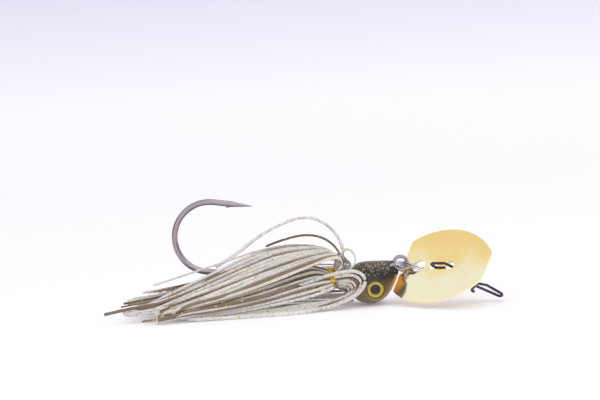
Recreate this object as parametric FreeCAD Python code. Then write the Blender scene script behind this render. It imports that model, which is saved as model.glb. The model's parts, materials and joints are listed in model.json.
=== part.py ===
"""Bladed swim jig: cast fish head on a heavy hook, tied silicone skirt, split ring, hex blade and snap.

The lure lies at rest on a flat surface with its nose towards +X, its hook point up (+Z) and
its hook in the XZ plane.  Everything is built about the hook, then moved so that the origin is
the bottom centre of the whole lure.  All lengths are in millimetres.
"""
import FreeCAD
import Part
import math
import os

V = FreeCAD.Vector

# ---- driving sizes -------------------------------------------------------------------------
# hook
HOOK_WIRE_R = 0.82            # radius of the hook's wire
BEND_R = 9.5                  # centreline radius of the round bend
BEND_X, BEND_Z = -24.9, 20.35 # centre of the round bend
SHANK_DIP_DEG = 6.3           # how far the straight shank dips towards the head
POINT_DIP_DEG = 9.0           # how far the point arm dips towards its tip
POINT_ARM = 10.6              # bend to tip
POINT_TAPER = 5.6             # length of the ground point
POINT_TIP_R = 0.07
BARB_LENGTH, BARB_HEIGHT, BARB_WIDTH = 1.5, 0.45, 0.5
BARB_ROOT = 0.9               # how far the barb's root runs into the taper
KNEE_X = 12.6                 # where the shank turns up inside the head
KNEE_R = 5.0
EYE_X, EYE_Z = 26.3, 10.55    # centre of the hook's eye
EYE_WIRE_R = 0.5
EYE_HOLE_R = 1.3
EYE_SET = 0.2                 # how far the shank meets the eye below its centre

# cast head: station x, top z, bottom z, half width
HEAD_STATIONS = [
    (12.3, 9.1, 4.1, 2.5),
    (13.1, 10.1, 2.2, 3.5),
    (14.4, 11.0, 0.9, 4.3),
    (16.4, 11.5, 0.15, 4.8),
    (18.4, 11.55, 0.0, 5.0),
    (20.4, 11.5, 0.55, 4.8),
    (22.4, 11.45, 2.0, 4.1),
    (24.0, 11.3, 4.2, 3.1),
    (25.2, 10.8, 6.7, 2.0),
    (25.6, 10.3, 7.9, 1.3),
]
COLLAR_R = 1.3                # sleeve of the casting that the skirt is tied round
COLLAR_LENGTH = 7.9
COLLAR_SINK = 1.0             # how far the collar runs into the head
COLLAR_LIP_R, COLLAR_LIP = 1.75, 0.7
KEEPER_LENGTH, KEEPER_R = 2.6, 1.75   # barbed cones that hold a soft trailer
KEEPER_TIP_WALL = 0.2         # lead round the wire at the small end of each barb
KEEPER_COUNT = 2
CHEEK_PLAY = 0.75             # room beside the hook's eye for the ring to swing in
CHEEK_FACE = 0.12             # lead left on each side of the hook's eye

# eyes
EYEBALL_X, EYEBALL_Z = 19.0, 4.25
SOCKET_R = 2.45
SOCKET_RIM = 0.42
SOCKET_FLOOR_Y = 3.75
SOCKET_DEPTH = 0.8
SOCKET_ROOT = 1.6             # how far the socket's rim runs into the head
FOIL_T = 0.15
DOME_RISE, DOME_WALL = 1.15, 0.3
EYE_PLAY = 0.03               # radial play of the eye in its socket

# split ring
RING_WIRE_W, RING_WIRE_T = 0.62, 0.58  # flattened wire: radial width, thickness along the axis
RING_LAY = 0.05               # gap between the two coils
RING_R = 4.63                 # mean radius of the coils
RING_AHEAD, RING_AWAY, RING_DROP = 3.37, 2.46, 2.01     # hook's eye to the ring's centre
RING_LEAN_DEG, RING_TILT_DEG = 21.3, 14.8       # lean of its axis towards the nose, tilt to the side
RING_BRIDGE_DEG = 14.0        # the stretch where the wire steps from one coil to the other
RING_END_GAP_DEG = 5.0
RING_STEP_DEG = 215.0         # where round the ring, from the hook's eye, the wire steps over

# blade
BLADE_L, BLADE_W, BLADE_T = 26.8, 24.0, 0.6
BLADE_REAR_EDGE, BLADE_FRONT_EDGE = 16.6, 8.4   # straight end edges
BLADE_WIDEST = 11.0           # rear edge to the widest place
BLADE_CORNER_R = 0.7
HOLE1_AT, HOLE1_R = 5.36, 1.9
HOLE2_AT, HOLE3_AT, SNAP_HOLE_R = 9.9, 15.3, 1.35
BLADE_YAW, BLADE_PITCH, BLADE_ROLL = -39.6, 3.5, -43.3
HOLE1_AHEAD, HOLE1_NEARER, HOLE1_RISE = 1.69, 3.75, 0.95    # ring's centre to the blade's ring hole

# snap
SNAP_WIRE_R = 0.37
SNAP_LEAN_DEG = 39.6          # lean of the snap from square to the blade
SNAP_LENGTH = 18.3            # blade to the outside of the line end
SNAP_HALF_W = 2.06            # blade-side loop, centre to wire centre
SNAP_TIP_HALF_W = 0.85
SNAP_LATCH_AT = 10.4
SNAP_LATCH_HALF_W = 1.45
SNAP_OVER = 0.86              # crossing wires, centre to centre
SNAP_REAR = 1.3               # blade's middle plane to the loop's wire in front of it
SNAP_TAIL, SNAP_TAIL_OUT = 0.9, 1.9    # free end beyond the wire that it hooks over
SNAP_SPREAD = 2.4             # run in which the crossing wire comes back into the plane
SNAP_NARROW_RUN = 4.6         # run in which the free side narrows
SNAP_STUB = 1.7               # turned-out stub at the start of the wire
SNAP_TIGHT_R, SNAP_EASY_R, SNAP_GENTLE_R = 0.5, 0.8, 3.0

# skirt
STRAND_R = 0.27
STRANDS_PER_LAYER = 14
LAYER_GAP = 0.12
TIE_WIRE_R = 0.24
TIE_TURNS = 5
TIE_PACK = 0.96               # spacing of the pressed turns, in diameters of the tie wire
SEAT = 0.05                   # running gap between soft pieces and their seats


# ---- helpers -------------------------------------------------------------------------------
def unit(v):
    w = V(v)
    w.normalize()
    return w


def rounded_wire(points, radius):
    """One wire of straight runs joined by tangent arcs; radius is one value or one per corner."""
    corners = len(points) - 2
    radii = radius if isinstance(radius, (list, tuple)) else [radius] * corners
    edges = []
    start = points[0]
    for i in range(corners):
        before, corner, after = points[i], points[i + 1], points[i + 2]
        back, ahead = unit(before - corner), unit(after - corner)
        half = back.getAngle(ahead) / 2
        run_in, run_out = (corner - before).Length, (after - corner).Length
        if half > math.radians(89.6):
            continue
        cut = radii[i] / math.tan(half)
        limit = 0.48 * min(run_in, run_out)
        if cut > limit:
            cut = limit
        arc_r = cut * math.tan(half)
        first, last = corner + back * cut, corner + ahead * cut
        middle = corner + unit(back + ahead) * (arc_r / math.sin(half) - arc_r)
        edges.append(Part.LineSegment(start, first).toShape())
        edges.append(Part.Arc(first, middle, last).toShape())
        start = last
    edges.append(Part.LineSegment(start, points[-1]).toShape())
    return Part.Wire(edges)


def tube(points, r, radius):
    """A round wire or strand of radius r along a rounded path."""
    path = rounded_wire(points, radius)
    section = Part.Wire([Part.Circle(points[0], points[1] - points[0], r).toShape()])
    solid = path.makePipeShell([section], True, True, 0)
    return solid if solid.ShapeType == "Solid" else solid.Solids[0]


def one(shape):
    return shape.removeSplitter().Solids[0]


def shank_z(x):
    """Height of the straight shank's centreline at x."""
    slope = math.tan(math.radians(SHANK_DIP_DEG))
    low = BEND_Z - BEND_R / math.cos(math.radians(SHANK_DIP_DEG))
    return low - slope * (x - BEND_X)


def shank_dir():
    dip = math.radians(SHANK_DIP_DEG)
    return V(math.cos(dip), 0, -math.sin(dip))


def on_bend(angle_deg):
    a = math.radians(angle_deg)
    return V(BEND_X + BEND_R * math.cos(a), 0, BEND_Z + BEND_R * math.sin(a))


# ---- hook ----------------------------------------------------------------------------------
def hook():
    """Forged wire hook: eye, shank with a knee, round bend, barbed point."""
    eye_ring = EYE_HOLE_R + EYE_WIRE_R
    knee = V(KNEE_X, 0, shank_z(KNEE_X))
    eye_side = V(EYE_X - eye_ring, 0, EYE_Z - EYE_SET)
    bend_in, bend_out = -90 - SHANK_DIP_DEG, 90 - POINT_DIP_DEG
    dip = math.radians(POINT_DIP_DEG)
    arm = V(math.cos(dip), 0, -math.sin(dip))
    top = on_bend(bend_out)
    taper_start = top + arm * (POINT_ARM - POINT_TAPER)
    shank = rounded_wire([eye_side, knee, on_bend(bend_in)], KNEE_R).Edges
    bend = Part.Arc(on_bend(bend_in), on_bend(180), top).toShape()
    arm_edge = Part.LineSegment(top, taper_start).toShape()
    path = Part.Wire(shank + [bend, arm_edge])
    section = Part.Wire([Part.Circle(eye_side, knee - eye_side, HOOK_WIRE_R).toShape()])
    wire = path.makePipeShell([section], True, False, 2)
    point = Part.makeCone(HOOK_WIRE_R, POINT_TIP_R, POINT_TAPER, taper_start, arm)
    eye = Part.makeTorus(eye_ring, EYE_WIRE_R, V(EYE_X, 0, EYE_Z), V(0, 1, 0))
    inward = V(-math.sin(dip), 0, -math.cos(dip))
    root = taper_start + inward * (HOOK_WIRE_R * 0.5)
    tip = root - arm * BARB_LENGTH + inward * (HOOK_WIRE_R * 0.5 + BARB_HEIGHT)
    heel = root - arm * (BARB_LENGTH * 0.75)
    toe = root + arm * BARB_ROOT
    barb_face = Part.Face(Part.makePolygon([toe, tip, heel, toe]))
    barb = barb_face.extrude(V(0, BARB_WIDTH, 0))
    barb.translate(V(0, -BARB_WIDTH / 2, 0))
    hole = Part.makeCylinder(EYE_HOLE_R, 4 * HOOK_WIRE_R, V(EYE_X, -2 * HOOK_WIRE_R, EYE_Z), V(0, 1, 0))
    return one(wire.cut(hole).fuse([point, eye, barb]))


# ---- cast head -----------------------------------------------------------------------------
def head_wire(x, top, bottom, half_width):
    """A closed oval section whose seam is at its top."""
    middle, half_height = (top + bottom) / 2, (top - bottom) / 2
    count = 16
    points = []
    for i in range(count):
        a = 2 * math.pi * i / count
        points.append(V(x, -half_width * math.sin(a), middle + half_height * math.cos(a)))
    curve = Part.BSplineCurve()
    curve.interpolate(points, PeriodicFlag=True)
    return Part.Wire([curve.toShape()])


def head(hook_solid):
    """Lead head cast over the hook, with eye sockets, skirt collar and trailer barbs."""
    body = Part.makeLoft([head_wire(*station) for station in HEAD_STATIONS], True, False)
    axis = shank_dir()
    root_x = HEAD_STATIONS[0][0] + COLLAR_SINK
    rear = V(root_x, 0, shank_z(root_x))
    back = axis * -1
    collar = Part.makeCylinder(COLLAR_R, COLLAR_LENGTH + COLLAR_SINK, rear, back)
    lip_at = rear + back * (COLLAR_LENGTH + COLLAR_SINK)
    lip = Part.makeCone(COLLAR_R, COLLAR_LIP_R, COLLAR_LIP, lip_at, back)
    pieces = [collar, lip]
    for i in range(KEEPER_COUNT):
        foot = lip_at + back * (COLLAR_LIP + i * KEEPER_LENGTH)
        pieces.append(Part.makeCone(KEEPER_R, HOOK_WIRE_R + KEEPER_TIP_WALL, KEEPER_LENGTH, foot, back))
    for side in (-1, 1):
        rim = V(EYEBALL_X, side * (SOCKET_FLOOR_Y - SOCKET_ROOT), EYEBALL_Z)
        out = V(0, side, 0)
        pieces.append(Part.makeCylinder(SOCKET_R + SOCKET_RIM, SOCKET_ROOT + SOCKET_DEPTH, rim, out))
    solid = body.fuse(pieces)
    for side in (-1, 1):
        floor = V(EYEBALL_X, side * SOCKET_FLOOR_Y, EYEBALL_Z)
        solid = solid.cut(Part.makeCylinder(SOCKET_R, SOCKET_R, floor, V(0, side, 0)))
    swing_r = EYE_HOLE_R + 2 * EYE_WIRE_R + CHEEK_PLAY
    for side in (-1, 1):
        cheek = V(EYE_X, side * (EYE_WIRE_R + CHEEK_FACE), EYE_Z)
        solid = solid.cut(Part.makeCylinder(swing_r, 2 * swing_r, cheek, V(0, side, 0)))
    through = 4 * EYE_WIRE_R + 4 * CHEEK_FACE
    hole = Part.makeCylinder(EYE_HOLE_R + EYE_WIRE_R, through, V(EYE_X, -through / 2, EYE_Z), V(0, 1, 0))
    return one(solid.cut(hole).cut(hook_solid))


def eye_foil(side):
    floor = V(EYEBALL_X, side * SOCKET_FLOOR_Y, EYEBALL_Z)
    return Part.makeCylinder(SOCKET_R - EYE_PLAY, FOIL_T, floor, V(0, side, 0))


def eye_dome(side):
    """Clear resin dome: a cap of a ball on a short straight wall."""
    r = SOCKET_R - EYE_PLAY
    base = V(EYEBALL_X, side * (SOCKET_FLOOR_Y + FOIL_T), EYEBALL_Z)
    cap = DOME_RISE - DOME_WALL
    ball_r = (r * r + cap * cap) / (2 * cap)
    out = V(0, side, 0)
    ball = Part.makeSphere(ball_r, base + out * (DOME_RISE - ball_r))
    return one(ball.common(Part.makeCylinder(r, 2 * DOME_RISE, base, out)))


# ---- blade frame ---------------------------------------------------------------------------
def blade_axes():
    """Unit vectors along the blade, across it and square to its front face."""
    turn = FreeCAD.Rotation(V(0, 0, 1), BLADE_YAW)
    turn = turn.multiply(FreeCAD.Rotation(V(0, 1, 0), -BLADE_PITCH))
    turn = turn.multiply(FreeCAD.Rotation(V(1, 0, 0), BLADE_ROLL))
    along = turn.multVec(V(1, 0, 0))
    across = turn.multVec(V(0, 0, 1))
    return along, across, turn.multVec(V(0, -1, 0))


def blade_point(s, t, n=0.0):
    """The place s from the rear edge, t across and n above the blade's middle plane."""
    along, across, face = blade_axes()
    hole = ring_centre() + V(HOLE1_AHEAD, -HOLE1_NEARER, HOLE1_RISE)
    return hole + along * (s - HOLE1_AT) + across * t + face * n


def blade():
    """Hexagonal plate with bowed long sides, one ring hole and two snap holes."""
    half_rear, half_front, half_w = BLADE_REAR_EDGE / 2, BLADE_FRONT_EDGE / 2, BLADE_W / 2

    def bow(run, drop):
        return (run * run + drop * drop) / (2 * drop)

    def on_bow(s, run, drop):
        r = bow(run, drop)
        return half_w - r + math.sqrt(r * r - (s - BLADE_WIDEST) ** 2)

    rear_run, front_run = BLADE_WIDEST, BLADE_L - BLADE_WIDEST
    rear_mid, front_mid = BLADE_WIDEST / 2, BLADE_WIDEST + front_run / 2
    rear_t = on_bow(rear_mid, rear_run, half_w - half_rear)
    front_t = on_bow(front_mid, front_run, half_w - half_front)
    low = -BLADE_T / 2
    edges = []
    for side in (1, -1):
        widest = blade_point(BLADE_WIDEST, side * half_w, low)
        rear = blade_point(0, side * half_rear, low)
        front = blade_point(BLADE_L, side * half_front, low)
        rear_arc = blade_point(rear_mid, side * rear_t, low)
        front_arc = blade_point(front_mid, side * front_t, low)
        edges.append(Part.Arc(rear, rear_arc, widest).toShape())
        edges.append(Part.Arc(widest, front_arc, front).toShape())
    for s, half in ((0, half_rear), (BLADE_L, half_front)):
        edges.append(Part.LineSegment(blade_point(s, -half, low), blade_point(s, half, low)).toShape())
    outline = Part.Wire(Part.__sortEdges__(edges))
    face_dir = blade_axes()[2]
    plate = Part.Face(outline).extrude(face_dir * BLADE_T)
    corners = [e for e in plate.Edges if e.Curve.TypeId == "Part::GeomLine" and e.Length < BLADE_T * 1.01]
    ends = [e for e in corners if min(abs(blade_s(e) - 0), abs(blade_s(e) - BLADE_L)) < 0.01]
    plate = plate.makeFillet(BLADE_CORNER_R, ends)
    for s, r in ((HOLE1_AT, HOLE1_R), (HOLE2_AT, SNAP_HOLE_R), (HOLE3_AT, SNAP_HOLE_R)):
        plate = plate.cut(Part.makeCylinder(r, 3 * BLADE_T, blade_point(s, 0, -1.5 * BLADE_T), face_dir))
    return one(plate)


def blade_s(edge):
    """How far an edge's middle lies from the blade's rear edge."""
    return (edge.CenterOfMass - blade_point(0, 0)).dot(blade_axes()[0])


# ---- split ring ----------------------------------------------------------------------------
def ring_centre():
    """Centre of the ring as it lies through the hook's eye."""
    return V(EYE_X + RING_AHEAD, RING_AWAY, EYE_Z - RING_DROP)


def ring_axis():
    lean, tilt = math.radians(RING_LEAN_DEG), math.radians(RING_TILT_DEG)
    return V(math.sin(lean) * math.cos(tilt), math.sin(tilt), math.cos(lean) * math.cos(tilt))


def ring_towards(place):
    """Unit vector in the ring's plane from its centre towards a place."""
    axis = ring_axis()
    reach = place - ring_centre()
    return unit(reach - axis * reach.dot(axis))


def ring_at(place):
    """The point of the ring's middle line nearest to a place: the hook's eye or the blade's hole."""
    return ring_centre() + ring_towards(place) * RING_R


def ring_sector(low, high, start_deg, sweep_deg):
    """A stretch of flattened wire between two heights along the ring's axis."""
    centre, axis = ring_centre(), ring_axis()
    radial = ring_towards(V(EYE_X, 0, EYE_Z))
    inner, outer = RING_R - RING_WIRE_W / 2, RING_R + RING_WIRE_W / 2
    corners = [(inner, low), (outer, low), (outer, high), (inner, high), (inner, low)]
    face = Part.Face(Part.makePolygon([centre + radial * r + axis * h for r, h in corners]))
    face.rotate(centre, axis, start_deg)
    return face.revolve(centre, axis, sweep_deg)


def split_ring():
    """Two coils of one flattened wire, joined by a short step."""
    half_lay = RING_LAY / 2
    top = half_lay + RING_WIRE_T
    step = ring_sector(-top, top, RING_STEP_DEG, RING_BRIDGE_DEG)
    turn = 360.0 - RING_BRIDGE_DEG - RING_END_GAP_DEG
    lower = ring_sector(-top, -half_lay, RING_STEP_DEG + RING_BRIDGE_DEG, turn)
    upper = ring_sector(half_lay, top, RING_STEP_DEG - turn, turn)
    return one(step.fuse([lower, upper]))


# ---- snap ----------------------------------------------------------------------------------
def snap_point(a, b, c=0.0):
    """a from the blade's plane to the line end, b across the snap, c out of its plane."""
    along, across, face = blade_axes()
    lean = math.radians(SNAP_LEAN_DEG)
    length_dir = along * math.sin(lean) - face * math.cos(lean)
    width_dir = along * math.cos(lean) + face * math.sin(lean)
    hinge = blade_point((HOLE2_AT + HOLE3_AT) / 2, 0)
    return hinge + length_dir * a + width_dir * b + across * c


def snap_front(b):
    """How far along the snap its wire at b stands in front of the blade by the loop's height."""
    lean = math.radians(SNAP_LEAN_DEG)
    return (b * math.sin(lean) - SNAP_REAR) / math.cos(lean)


def snap():
    """One spring wire bent into a wide loop through the blade and a narrow loop for the line."""
    tip = SNAP_LENGTH - SNAP_WIRE_R
    latch, half, narrow = SNAP_LATCH_AT, SNAP_LATCH_HALF_W, SNAP_TIP_HALF_W
    hooked = half + SNAP_TAIL_OUT
    free_side = latch - SNAP_NARROW_RUN
    places = [
        (latch + SNAP_TAIL, -hooked, -SNAP_OVER),
        (latch, SNAP_WIRE_R / 2 - hooked, -SNAP_OVER),
        (latch - SNAP_WIRE_R / 2, half + SNAP_WIRE_R / 4, -SNAP_OVER),
        (latch + SNAP_SPREAD, half, 0),
        (tip, narrow, 0),
        (tip, -narrow, 0),
        (latch + SNAP_SPREAD / 2, -half, 0),
        (free_side + SNAP_SPREAD / 2, -SNAP_HALF_W, 0),
        (snap_front(-SNAP_HALF_W), -SNAP_HALF_W, 0),
        (snap_front(SNAP_HALF_W), SNAP_HALF_W, 0),
        (free_side + 2 * SNAP_WIRE_R, SNAP_HALF_W, 0),
        (latch - SNAP_TAIL_OUT, SNAP_HALF_W, 0),
        (latch - SNAP_TAIL_OUT + SNAP_WIRE_R, half + SNAP_STUB, 0),
    ]
    line_end = narrow - SNAP_WIRE_R / 12
    radii = [SNAP_TIGHT_R, SNAP_TIGHT_R, SNAP_EASY_R, line_end, line_end, SNAP_GENTLE_R, SNAP_GENTLE_R,
             SNAP_EASY_R, SNAP_EASY_R, SNAP_GENTLE_R, SNAP_TIGHT_R]
    return tube([snap_point(*p) for p in places], SNAP_WIRE_R, radii)


# ---- skirt ---------------------------------------------------------------------------------
TIE_X = 7.3
TIE_REACH = 1.4               # half the length of collar that the tie wire and its ends take
LAYER_R = [COLLAR_R + SEAT + STRAND_R, COLLAR_R + SEAT + 3 * STRAND_R + LAYER_GAP]

# Nested shells of strands.  Each station holds x at the top, x at the sides, x underneath, the
# middle z, then the half width, the reach above the middle and the reach below it.
FRONT_SHELL = [
    (10.0, 11.3, 11.1, 6.7, 4.0, 3.9, 3.6),
    (11.0, 12.9, 11.4, 6.6, 5.7, 5.0, 4.8),
    (11.4, 16.4, 13.2, 6.5, 6.7, 6.1, 5.5),
    (10.4, 15.3, 12.2, 6.6, 7.9, 7.2, 6.2),
    (3.5, 7.0, 6.0, 7.0, 8.9, 8.9, 6.5),
    (-5.0, -4.0, -4.0, 6.6, 10.6, 8.9, 6.1),
    (-16.0, -16.0, -16.0, 4.9, 12.6, 8.3, 4.5),
    (-29.0, -29.0, -29.0, 3.0, 14.6, 5.2, 2.6),
    (-41.0, -41.0, -41.0, 2.5, 15.8, 3.2, 2.15),
]
REAR_SHELL = [
    (-1.0, -1.0, -1.0, 7.6, 4.7, 4.9, 3.6),
    (-13.0, -13.0, -13.0, 5.6, 7.7, 5.8, 3.4),
    (-28.0, -28.0, -28.0, 3.5, 10.6, 3.2, 2.1),
    (-47.0, -47.0, -47.0, 2.3, 12.4, 1.6, 1.4),
]
FOLD_RADII = [0.55, 0.55, 1.1, 1.2]      # two turns of the fold, out over the head, at the tie
FRONT_RADII = [14.0, 14.0, 12.0, 12.0]   # the long sweep of the front half, tip first
REAR_RADII = [1.2, 1.2, 8.0, 14.0, 20.0] # out of the tie and along the rear half
ARCH_R, ARCH_FOLD_RADII = 8.0, [2.0, 1.1, 1.2]
FRONT_RAGGED, REAR_RAGGED = 3.0, 3.5     # how far the tips differ in length
INSET_RISE = 0.8                         # share of an inward step that is taken off the height
OUTWARD_STEP = 0.6                       # radial step between the layers where they leave the tie
INNER_LAYER_DROP = 0.9                   # radial step between the layers behind the tie
FOLD_SPREAD = 0.25                       # share of the spacing that parts the layers in front


def shell_point(station, angle, inset=0.0):
    x_top, x_side, x_low, middle, half_w, up, down = station
    c, s = math.cos(angle), math.sin(angle)
    x = x_side + (x_top - x_side) * max(0.0, c) + (x_low - x_side) * max(0.0, -c)
    reach = (up if c > 0 else down) - INSET_RISE * inset
    return V(x, -(half_w - inset) * s, middle + reach * c)


def tie_point(x, r, angle):
    return V(x, -r * math.sin(angle), shank_z(x) + r * math.cos(angle))


def strand(index, layer, arch=None):
    """One strand: front tip, back over the fold, through the tie, out to the rear tip."""
    step = 2 * math.pi / STRANDS_PER_LAYER
    angle = (index + 0.5) * step
    front_angle = angle + (FOLD_SPREAD if layer else -FOLD_SPREAD) * step
    stagger = math.sin(index * 2.4 + layer * 1.7)
    points = [shell_point(f, front_angle) for f in reversed(FRONT_SHELL)]
    if not layer:
        points[-1] = shell_point(FRONT_SHELL[0], front_angle, OUTWARD_STEP)
    points[0].x += FRONT_RAGGED * stagger
    radii = FRONT_RADII + FOLD_RADII
    if arch:
        points = arch + points[-2:]
        radii = [ARCH_R] * (len(arch) - 2) + ARCH_FOLD_RADII
    tie_r = LAYER_R[layer]
    points += [tie_point(TIE_X + TIE_REACH, tie_r, angle), tie_point(TIE_X - TIE_REACH, tie_r, angle)]
    inset = 0.0 if layer else INNER_LAYER_DROP
    points += [shell_point(f, angle, inset) for f in REAR_SHELL]
    points[-1].x -= REAR_RAGGED * stagger
    return tube(points, STRAND_R, radii[:len(points) - 2 - len(REAR_RADII)] + REAR_RADII)


def tie_wire():
    """Turns of fine wire wound and pressed side by side round the strands."""
    r = LAYER_R[1] + STRAND_R + SEAT + TIE_WIRE_R
    pitch = 2 * TIE_WIRE_R * TIE_PACK
    axis = shank_dir()
    middle = V(TIE_X, 0, shank_z(TIE_X))
    turns = []
    for i in range(TIE_TURNS):
        centre = middle + axis * ((i - (TIE_TURNS - 1) / 2) * pitch)
        turns.append(Part.makeTorus(r, TIE_WIRE_R, centre, axis))
    return one(turns[0].fuse(turns[1:]))


# ---- assembly ------------------------------------------------------------------------------
# Two strands that arch high over the rest: x, y and z of the free stretch of each.
HIGH_ARCH = [(-24.0, 3.6, 11.6), (-18.4, 3.6, 14.6), (-12.7, 3.5, 18.9), (-7.2, 3.4, 21.9),
             (-0.3, 3.2, 24.3), (5.1, 3.0, 23.3), (9.2, 2.7, 19.6), (11.0, 2.3, 15.4)]
LOW_ARCH = [(-9.8, -3.4, 17.4), (-5.4, -3.3, 18.9), (0.6, -3.1, 20.1), (5.6, -2.8, 19.1),
            (9.2, -2.4, 16.0)]
ARCHES = {("far", STRANDS_PER_LAYER - 1): HIGH_ARCH, ("near", 0): LOW_ARCH}


def strand_groups():
    """Strands by colour and side; near is the -Y side."""
    groups = {}
    for layer in (0, 1):
        for i in range(STRANDS_PER_LAYER):
            colour = ("pearl", "brown", "pearl", "cream")[(i + layer) % 4]
            side = "near" if i < STRANDS_PER_LAYER / 2 else "far"
            arch = ARCHES.get((side, i)) if layer else None
            if arch:
                name = "raised_strand_%s" % side
                groups[name] = [strand(i, layer, [V(*place) for place in arch])]
            else:
                groups.setdefault("skirt_%s_%s" % (colour, side), []).append(strand(i, layer))
    return {name: Part.makeCompound(solids) for name, solids in groups.items()}


def build():
    the_hook = hook()
    nodes = {
        "hook": the_hook,
        "cast_head": head(the_hook),
        "eye_foil_left": eye_foil(1),
        "eye_foil_right": eye_foil(-1),
        "eye_dome_left": eye_dome(1),
        "eye_dome_right": eye_dome(-1),
        "skirt_tie_wire": tie_wire(),
        "split_ring": split_ring(),
        "hex_blade": blade(),
        "line_snap": snap(),
    }
    nodes.update(strand_groups())
    return nodes


def stand(nodes):
    """The move that brings the bottom centre of the whole lure to the origin."""
    box = FreeCAD.BoundBox()
    for shape in nodes.values():
        box.add(shape.BoundBox)
    return V(-(box.XMin + box.XMax) / 2, -(box.YMin + box.YMax) / 2, -box.ZMin)


if __name__ == "__main__":
    made = build()
    shift = stand(made)
    os.makedirs("parts", exist_ok=True)
    for name, shape in made.items():
        shape.translate(shift)
        shape.exportStep("parts/%s.step" % name)
        print(name, len(shape.Solids), shape.isValid(), round(shape.Volume, 2),
              [round(q, 1) for q in (shape.BoundBox.XMin, shape.BoundBox.XMax, shape.BoundBox.YMin,
                                     shape.BoundBox.YMax, shape.BoundBox.ZMin, shape.BoundBox.ZMax)])
    print("moved by", shift)
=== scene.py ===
import json
import math
import random

import bmesh
import bpy
from mathutils import Matrix, Vector


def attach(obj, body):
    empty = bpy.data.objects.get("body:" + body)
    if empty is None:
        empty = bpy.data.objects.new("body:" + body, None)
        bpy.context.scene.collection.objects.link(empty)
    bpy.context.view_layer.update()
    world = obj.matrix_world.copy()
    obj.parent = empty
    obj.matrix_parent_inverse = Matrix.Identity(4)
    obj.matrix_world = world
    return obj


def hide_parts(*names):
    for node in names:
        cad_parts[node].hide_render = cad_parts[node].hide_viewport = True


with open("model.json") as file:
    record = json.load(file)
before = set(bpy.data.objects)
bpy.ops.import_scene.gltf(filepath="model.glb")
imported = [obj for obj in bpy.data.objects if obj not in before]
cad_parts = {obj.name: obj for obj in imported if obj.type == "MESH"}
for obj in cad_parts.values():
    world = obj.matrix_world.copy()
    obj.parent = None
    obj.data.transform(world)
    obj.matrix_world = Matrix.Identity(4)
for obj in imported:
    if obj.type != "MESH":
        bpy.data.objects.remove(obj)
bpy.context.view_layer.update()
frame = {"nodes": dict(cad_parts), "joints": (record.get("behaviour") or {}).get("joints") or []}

# Studio: a pale floor that sweeps up into a pale wall, a wide soft lamp overhead, a weaker one in
# front and even light all round.
def finish_mesh(name, bm, material, merge=0.000002):
    """Closes a bmesh into a smooth-shaded object with outward faces."""
    if merge:
        bmesh.ops.remove_doubles(bm, verts=bm.verts, dist=merge)
    bmesh.ops.recalc_face_normals(bm, faces=bm.faces)
    mesh = bpy.data.meshes.new(name)
    bm.to_mesh(mesh)
    bm.free()
    mesh.polygons.foreach_set("use_smooth", [True] * len(mesh.polygons))
    mesh.materials.append(material)
    piece = bpy.data.objects.new(name, mesh)
    bpy.context.scene.collection.objects.link(piece)
    return piece


def new_material(name):
    material = bpy.data.materials.new(name)
    material.use_nodes = True
    nodes, links = material.node_tree.nodes, material.node_tree.links
    return material, nodes, links, nodes["Principled BSDF"]


def ramp(nodes, links, source, stops, interpolation="LINEAR"):
    """A colour ramp fed by source; stops are (position, linear colour)."""
    node = nodes.new("ShaderNodeValToRGB")
    node.color_ramp.interpolation = interpolation
    elements = node.color_ramp.elements
    while len(elements) < len(stops):
        elements.new(0.5)
    for element, (position, colour) in zip(elements, stops):
        element.position = position
        element.color = (*colour, 1.0)
    links.new(source, node.inputs[0])
    return node.outputs["Color"]


def math_node(nodes, links, operation, a, b=None, clamp=False):
    node = nodes.new("ShaderNodeMath")
    node.operation = operation
    node.use_clamp = clamp
    for socket, value in zip(node.inputs, (a, b)):
        if value is None:
            continue
        if isinstance(value, (int, float)):
            socket.default_value = value
        else:
            links.new(value, socket)
    return node.outputs[0]


def srgb(r, g, b):
    """Linear colour of an sRGB colour given from 0 to 255."""
    return tuple(((c / 255 + 0.055) / 1.055) ** 2.4 if c > 10 else c / 255 / 12.92 for c in (r, g, b))


paper, nodes, links, shader = new_material("studio_paper")
shader.inputs["Roughness"].default_value = 0.9
shader.inputs["Specular IOR Level"].default_value = 0.1
coords = nodes.new("ShaderNodeTexCoord")
split = nodes.new("ShaderNodeSeparateXYZ")
links.new(coords.outputs["Object"], split.inputs[0])
# painted shade: the paper is painted darker and bluer as it rises up the sweep, where the light falls away
PAINTED_SHADE_PER_METRE, GLOW = 6.0, 0.12
rise = math_node(nodes, links, "MULTIPLY", split.outputs["Z"], PAINTED_SHADE_PER_METRE, clamp=True)
paper_with_painted_shade = ramp(nodes, links, rise, [(0.25, srgb(248, 246, 249)), (1.0, srgb(217, 214, 231))])
links.new(paper_with_painted_shade, shader.inputs["Base Color"])
# the paper looks a little brighter than it lights the lure
path = nodes.new("ShaderNodeLightPath")
seen = math_node(nodes, links, "MAXIMUM", path.outputs["Is Camera Ray"], path.outputs["Is Glossy Ray"])
seen = math_node(nodes, links, "MAXIMUM", seen, path.outputs["Is Transmission Ray"])
links.new(paper_with_painted_shade, shader.inputs["Emission Color"])
links.new(math_node(nodes, links, "MULTIPLY", seen, GLOW), shader.inputs["Emission Strength"])
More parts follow.
